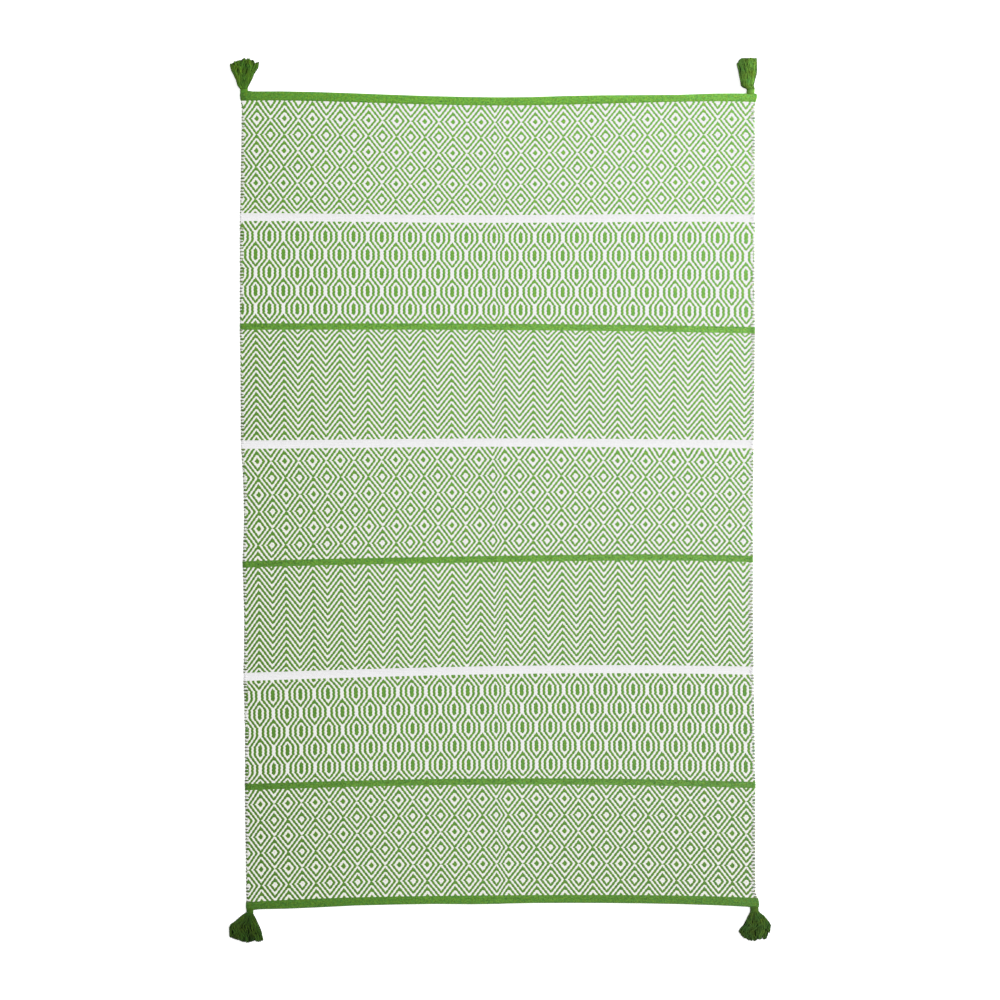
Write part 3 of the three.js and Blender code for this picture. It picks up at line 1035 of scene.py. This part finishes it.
def yarn_group():
    """Cotton yarn: its colour from the green share and the shaded green, and its fine relief.

    Streaks run along the wefts, yarn by yarn, the cloth is mottled all over, and the dye wavers
    between a yellower and a bluer green. Low places between floats and the valleys between rows
    are darker by painted shade. Where white lies beside green it takes a painted green tinge of
    light bounced off the green, the more so the deeper the green.
    """
    group, values, leave = new_group(
        "Cotton yarn",
        [("Green", "Float"), ("Dye", "Vector"), ("Weave", "Vector"), ("Rise", "Float"),
         ("Valley", "Float"), ("Tinge", "Float"), ("Mottling", "Float")],
        [("Color", "Color"), ("Height", "Float"), ("Roughness", "Float")],
    )
    green, dye, weave, rise, valley, bounce_share, mottling = values
    end, row, face = parts_of(weave)
    place = object_place(group)
    streak = noise(vector_of(group, end * 0.035, row * 1.1, face), 1.0)
    mottle = (noise(place, MOTTLE_SCALE) - 0.5) * mottling
    fleck = noise(vector_of(group, end * 0.4, row * 0.8, face + 7), 1.0)
    fibre = noise(vector_of(group, end * 3.0 + row * 1.4, row * 9.0, face), 1.0, 3.0)
    waver = fleck - 0.5
    depth = streak * 0.25 + mottle + waver * 0.35 + 0.875
    tint = vector_of(group, waver * 1.1 + 1, 1.0, waver * -1.3 + 1)
    green_yarn = scaled(times(dye, tint), depth)
    low = maths("SUBTRACT", 1, rise)
    deep = smooth_step(parts_of(dye)[1] * -1, -0.42, -0.18)
    # Painted light bounced off the green onto the white beside it.
    green_bounce = low * bounce_share * (deep * 0.8 + 0.2)
    cotton = vector_of(group, green_bounce * -0.10 + 1, green_bounce * -0.03 + 1, green_bounce * -0.40 + 1)
    white_yarn = scaled(times(cotton, WHITE_COTTON), streak * 0.03 + mottle * 0.12 + 0.985)
    yarn = blend(green, white_yarn, green_yarn)
    # Painted shade in the low places between floats and in the valleys between rows.
    gap_shade = maths("SUBTRACT", 1, low * 0.09 + valley * 0.08)
    colour = scaled(yarn, gap_shade * (fibre * 0.10 + 0.95))
    height = rise * 0.6 - valley * 0.35 + fibre * 0.16
    give_out(group, leave, Color=colour, Height=height, Roughness=fibre * 0.12 + 0.84)
    return group


def new_material(name, **settings):
    """A material and its shader, with the shader's inputs set by their names."""
    material = bpy.data.materials.new(name)
    material.use_nodes = True
    shader = material.node_tree.nodes["Principled BSDF"]
    for title, value in settings.items():
        shader.inputs[title.replace("_", " ")].default_value = value
    return material, shader


def cotton_shader(name, colour_of, bump_mm=0.5, gloss=0.25):
    """A matt cotton material; colour_of works out its colour, height and roughness signals."""
    material, shader = new_material(name, Specular_IOR_Level=gloss, Sheen_Weight=0.06, Sheen_Roughness=0.5)
    tree = material.node_tree
    colour, height, roughness = colour_of(tree)
    relief = {"Distance": bump_mm * MM, "Strength": 0.8, "Height": height}
    normal = wired(tree, tree.nodes.new("ShaderNodeBump"), relief, "Normal")
    for title, value in (("Base Color", colour), ("Roughness", roughness), ("Normal", normal)):
        feed(tree, shader.inputs[title], value)
    return material


def yarn_finish(tree, yarn, **values):
    """A yarn's colour, height and roughness, from values for the yarn group's inputs."""
    made = use_group(tree, yarn, **values)
    return made["Color"], made["Height"], made["Roughness"]


def rug_materials(yarn):
    """One material for each kind of cloth section, in the order of KINDS."""
    plain = plain_group()

    def twill_colour(pattern):
        """How a twill band is coloured; its white lines widen where the green is lighter."""
        twill = twill_group(pattern)

        def colour_of(tree):
            """Its colour, height and roughness signals."""
            weave = attribute(tree, "weave", "Vector")
            dye = attribute(tree, "dye", "Vector")
            lean = smooth_step(parts_of(dye)[1], 0.18, 0.44) * 0.15 - 0.06
            cell = use_group(tree, twill, Weave=weave, White_Lean=lean)
            return yarn_finish(tree, yarn, Dye=dye, Weave=weave, Tinge=1.0,
                               Mottling=MOTTLING["twill"], **cell)
        return colour_of

    def plain_colour(green, tint, mottling):
        """How a plain stripe or a hem is coloured, with its green times a tint; a hem's green holds its
        painted fold shade.
        """
        def colour_of(tree):
            """Its colour, height and roughness signals."""
            weave = attribute(tree, "weave", "Vector")
            cell = use_group(tree, plain, Weave=weave)
            dye = times(attribute(tree, "dye", "Vector"), tint)
            return yarn_finish(tree, yarn, Green=green, Dye=dye, Weave=weave, Tinge=0.0,
                               Mottling=mottling, **cell)
        return colour_of

    made = []
    for kind in KINDS:
        if kind in ("diamond", "hexagon", "zigzag"):
            made.append(cotton_shader("Twill " + kind, twill_colour(kind)))
        else:
            is_green = 0.0 if "white" in kind else 1.0
            tint = HEM_TINT if kind == "hem" else (1, 1, 1)
            mottling = MOTTLING["hem" if kind == "hem" else "stripe"]
            colour_of = plain_colour(is_green, tint, mottling)
            made.append(cotton_shader("Plain " + kind, colour_of, bump_mm=0.35))
    return made


def loop_colour(yarn):
    """Selvedge loops in the rug's two yarns, told apart by the value on each loop."""
    def colour_of(tree):
        """Their colour, height and roughness signals."""
        ends_a_metre = 400.0
        return yarn_finish(
            tree, yarn, Green=attribute(tree, "green"), Dye=attribute(tree, "dye", "Vector"),
            Weave=scaled(object_place(tree), ends_a_metre), Rise=0.8, Valley=0.0, Tinge=0.0,
            Mottling=MOTTLING["loop"],
        )
    return colour_of


def tassel_colour(tree):
    """Tassel yarn: the green with its painted shade, lighter or darker strand by strand, with fine
    streaks of fibre and patches that are yellower or bluer."""
    place = object_place(tree)
    fibre = noise(place, 900.0, 3.0)
    cloud = noise(place, 130.0)
    waver = noise(place, 75.0) - 0.5
    tint = vector_of(tree, waver * 1.1 + 1.05, 1.0, waver * -0.9 + 0.72)
    depth = fibre * 0.5 + cloud * 0.5 + 0.5
    colour = scaled(times(attribute(tree, "dye", "Vector"), tint), depth)
    return colour, fibre, fibre * 0.1 + 0.85


def floor_material():
    """A pale matt floor that gives off a little light, so that it shows white."""
    return new_material(
        "Pale floor", Base_Color=(0.86, 0.86, 0.86, 1), Roughness=0.95, Specular_IOR_Level=0.1,
        Emission_Color=(1, 1, 1, 1), Emission_Strength=0.6,
    )[0]


# The setting

def set_camera():
    """A long lens straight above the middle of the photograph, whose places were read at the
    middles of its pixels."""
    data = bpy.data.cameras.new("Camera")
    data.sensor_width = SENSOR_MM
    data.lens = SENSOR_MM * (CAMERA_HEIGHT_M - BAND_THICKNESS * MM) / PHOTO_WIDTH_M
    data.clip_end = 100
    camera = add_object("Camera", data)
    camera.location = (SHIFT[0] - HALF_PIXEL_M, SHIFT[1] + HALF_PIXEL_M, CAMERA_HEIGHT_M)
    bpy.context.scene.camera = camera


def light_studio():
    """Soft white surroundings, and one large square light above the far right corner, which
    looks at the rug's middle."""
    world = bpy.data.worlds.new("Soft white room")
    world.use_nodes = True
    background = world.node_tree.nodes["Background"]
    background.inputs["Color"].default_value = (1, 1, 1, 1)
    background.inputs["Strength"].default_value = ROOM_STRENGTH
    bpy.context.scene.world = world
    data = bpy.data.lights.new("Key", "AREA")
    data.size = KEY_SIZE_M
    data.energy = KEY_POWER_W
    light = add_object("Key", data)
    light.location = KEY_PLACE_M
    light.rotation_euler = (-Vector(KEY_PLACE_M)).to_track_quat("-Z", "Y").to_euler()
    bpy.context.scene.view_settings.view_transform = "Standard"


def lay_floor():
    """A wide level floor that the rug lies on."""
    mesh = bpy.data.meshes.new("floor")
    corners = [(x * FLOOR_HALF_M, y * FLOOR_HALF_M, 0) for x, y in ((-1, -1), (1, -1), (1, 1), (-1, 1))]
    mesh.from_pydata(corners, [], [(0, 1, 2, 3)])
    mesh.materials.append(floor_material())
    floor = add_object("floor", mesh)


set_camera()
light_studio()
lay_floor()

cloth = lay_cloth()
yarn_nodes = yarn_group()
rug = weave_rug(cloth, rug_materials(yarn_nodes))
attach(rug, "root")
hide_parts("rug")

loop_material = cotton_shader("Selvedge loops", loop_colour(yarn_nodes), bump_mm=0.2)
for name, side in (("selvedge_left", -1), ("selvedge_right", 1)):
    piece = selvedge_loops(cloth, name, side, loop_material)
    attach(piece, "root")

tassel_material = cotton_shader("Tassel yarn", tassel_colour, bump_mm=0.2, gloss=0.1)
for tassel in TASSELS:
    piece = make_tassel(tassel, tassel_material)
    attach(piece, "root")
    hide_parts(tassel.name)
